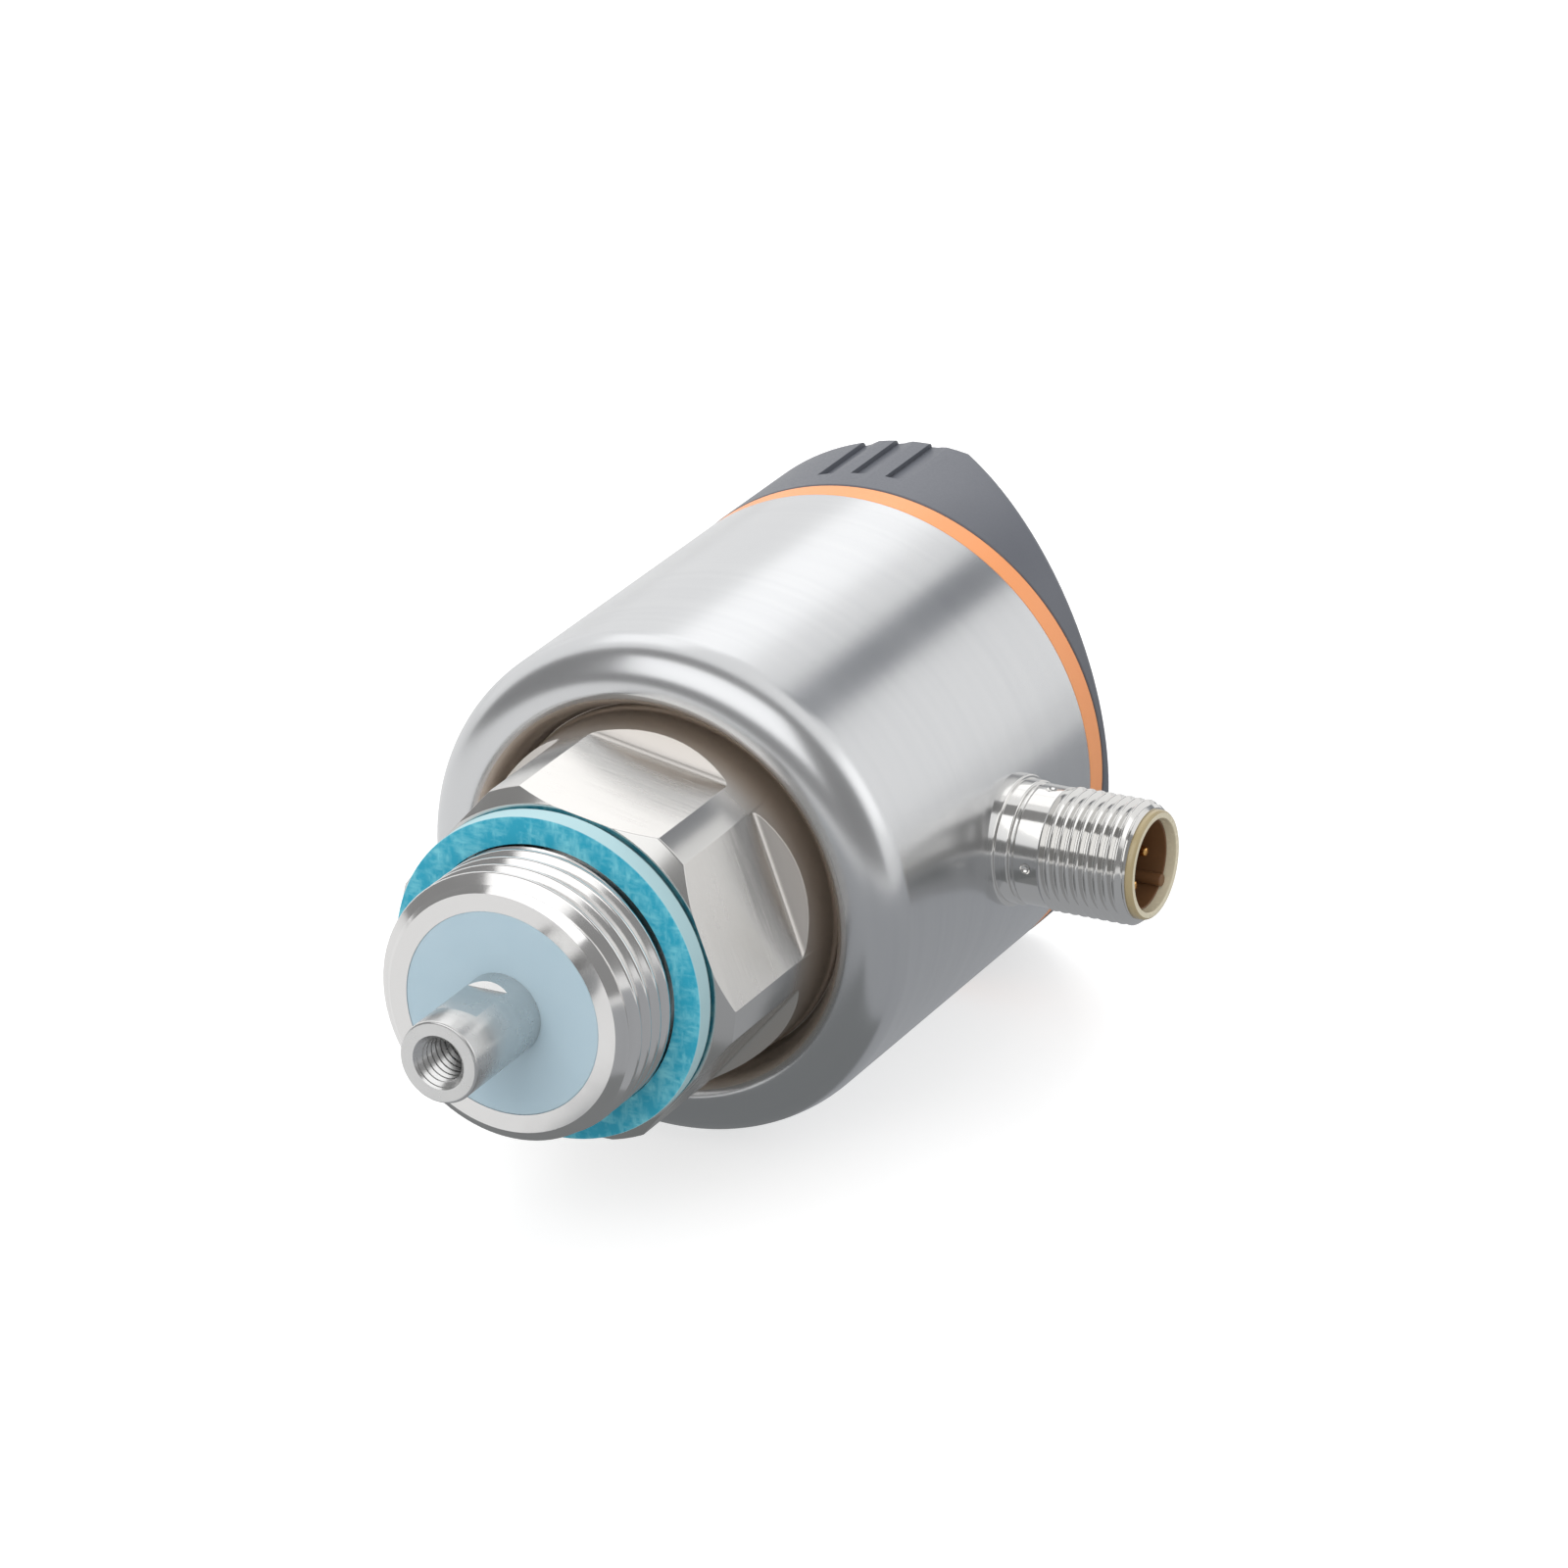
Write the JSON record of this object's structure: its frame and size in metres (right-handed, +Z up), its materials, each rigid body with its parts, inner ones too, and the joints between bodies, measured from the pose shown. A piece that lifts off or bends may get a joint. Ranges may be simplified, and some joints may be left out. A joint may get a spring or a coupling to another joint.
{
  "type": "level sensor",
  "caption": "Round stainless level sensor with a threaded process fitting and rod socket, side plug and turning display head.",
  "frame": {"origin": "on the sensor's axis, in the middle of the process thread", "axes": "+Y along the sensor's axis towards the head, +X out of the side plug, +Z up; the sensor lies on its side"},
  "size_m": [0.0645, 0.0984, 0.05],
  "materials": {
    "stainless": "satin drawn and brushed stainless steel",
    "turned_stainless": "bright turned and milled stainless steel",
    "nickel_brass": "nickel-plated brass",
    "zinc_steel": "zinc-plated steel",
    "gold_contact": "gold-plated contact",
    "fibre": "pressed fibre sheet",
    "ptfe": "turned fluoropolymer",
    "seal_rubber": "moulded rubber",
    "grey_plastic": "satin moulded plastic",
    "black_plastic": "moulded plastic",
    "orange_plastic": "moulded plastic",
    "light_insert": "moulded plastic",
    "brown_insert": "moulded plastic",
    "board": "glass-fibre board with solder mask",
    "window": "tinted clear plastic",
    "display": "dark display face"
  },
  "bodies": {
    "housing": {"process_fitting": "turned_stainless", "gasket": "fibre", "insulator": "ptfe", "rod_socket": "turned_stainless", "insulator_seal": "seal_rubber", "fitting_seal": "seal_rubber", "probe_washer": "zinc_steel", "probe_nut": "zinc_steel", "can": "stainless", "clamp_nut": "zinc_steel", "connector_shell": "nickel_brass", "connector_sleeve": "light_insert", "connector_insert": "brown_insert", "connector_nut": "nickel_brass", "colour_ring": "orange_plastic", "head_base": "black_plastic", "head_seal": "seal_rubber", "retaining_clip": "zinc_steel", "main_board": "board", "shield": "zinc_steel", "measuring_board": "board", "contact_pin": "gold_contact", "connector_pin_1": "gold_contact", "connector_pin_2": "gold_contact", "connector_pin_3": "gold_contact", "connector_pin_4": "gold_contact", "fixing_screw_1": "zinc_steel", "fixing_screw_2": "zinc_steel"},
    "head": {"head_cap": "grey_plastic", "head_plate": "black_plastic", "stop_pin": "zinc_steel", "display_window": "window", "display_module": "display", "display_board": "board", "board_screw_1": "zinc_steel", "board_screw_2": "zinc_steel", "key_board": "board", "key_screw_1": "zinc_steel", "key_screw_2": "zinc_steel", "switch_1": "black_plastic", "switch_2": "black_plastic"},
    "button_1": {"button_1": "black_plastic"},
    "button_2": {"button_2": "black_plastic"}
  },
  "joints": [
    {"name": "head_turn", "type": "hinge", "parent": "housing", "child": "head", "pos_m": [0, 0, 0], "axis": [0, 1, 0], "range_deg": [-172.5, 172.5]},
    {"name": "button_1_press", "type": "slide", "parent": "head", "child": "button_1", "axis": [0, -1, 0], "range_m": [0, 0.0005], "stiffness_N_per_m": 600, "springref_m": -0.0005},
    {"name": "button_2_press", "type": "slide", "parent": "head", "child": "button_2", "axis": [0, -1, 0], "range_m": [0, 0.0005], "stiffness_N_per_m": 600, "springref_m": -0.0005}
  ]
}
